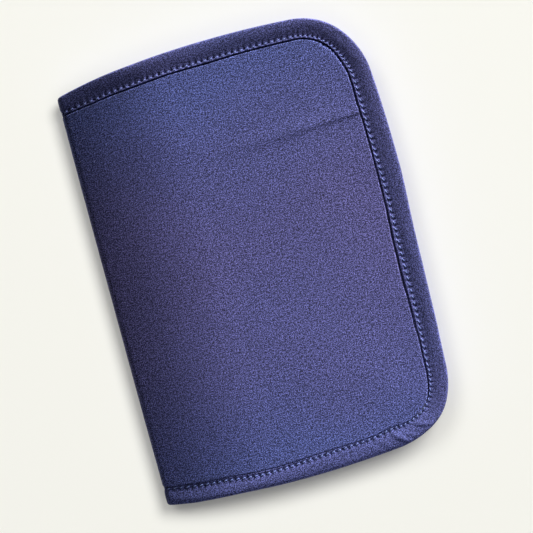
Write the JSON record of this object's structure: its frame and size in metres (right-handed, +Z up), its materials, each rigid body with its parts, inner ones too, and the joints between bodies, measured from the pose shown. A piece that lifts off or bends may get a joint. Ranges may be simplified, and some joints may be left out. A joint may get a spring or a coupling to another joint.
{
  "type": "travel document organizer",
  "caption": "Padded cotton travel document organizer that closes like a book, with bound, rounded edges and inner pockets for a passport, tickets, papers and cards.",
  "frame": {"origin": "centre of the closed organizer's footprint, on the surface it lies on", "axes": "+X from the fold to the free edge, +Y up along the fold, +Z up through the back cover to the front cover"},
  "size_m": [0.14, 0.1998, 0.02],
  "materials": {
    "cover_fabric": "matte navy plain-weave cotton",
    "binding_fabric": "matte navy cotton bias binding",
    "trim_fabric": "matte navy cotton tape",
    "lining_fabric": "matte slate-blue cotton lining",
    "pocket_fabric": "matte navy plain-weave cotton",
    "padding": "off-white needled fleece, not seen",
    "thread": "slightly glossy periwinkle polyester thread"
  },
  "bodies": {
    "back_half": {"back_cover": "cover_fabric", "back_padding": "padding", "back_lining": "lining_fabric", "back_binding": "binding_fabric", "back_needle_thread": "thread", "back_bobbin_thread": "thread", "ticket_pocket": "pocket_fabric", "ticket_pocket_trim": "trim_fabric", "passport_pocket": "pocket_fabric", "passport_pocket_trim": "trim_fabric"},
    "spine": {"spine_cover": "cover_fabric", "spine_interlining": "padding", "spine_lining": "lining_fabric", "spine_binding_top": "binding_fabric", "spine_binding_bottom": "binding_fabric"},
    "front_half": {"front_cover": "cover_fabric", "front_padding": "padding", "front_lining": "lining_fabric", "front_binding": "binding_fabric", "front_needle_thread": "thread", "front_bobbin_thread": "thread", "document_pocket": "pocket_fabric", "document_pocket_trim": "trim_fabric", "card_slot_1": "pocket_fabric", "card_slot_1_trim": "trim_fabric", "card_slot_2": "pocket_fabric", "card_slot_2_trim": "trim_fabric", "card_slot_3": "pocket_fabric", "card_slot_3_trim": "trim_fabric", "card_slot_side_thread": "thread", "card_slot_bottom_thread": "thread"}
  },
  "joints": [
    {"name": "spine_fold", "type": "hinge", "parent": "back_half", "child": "spine", "pos_m": [-0.06963, 0, 0.00787], "axis": [0, -1, 0], "range_deg": [0, 90]},
    {"name": "cover_fold", "type": "hinge", "parent": "spine", "child": "front_half", "pos_m": [-0.06963, 0, 0.01213], "axis": [0, -1, 0], "range_deg": [0, 90]}
  ],
  "couplings": [
    {"joint": "spine_fold", "follows": "cover_fold", "ratio": 1}
  ]
}
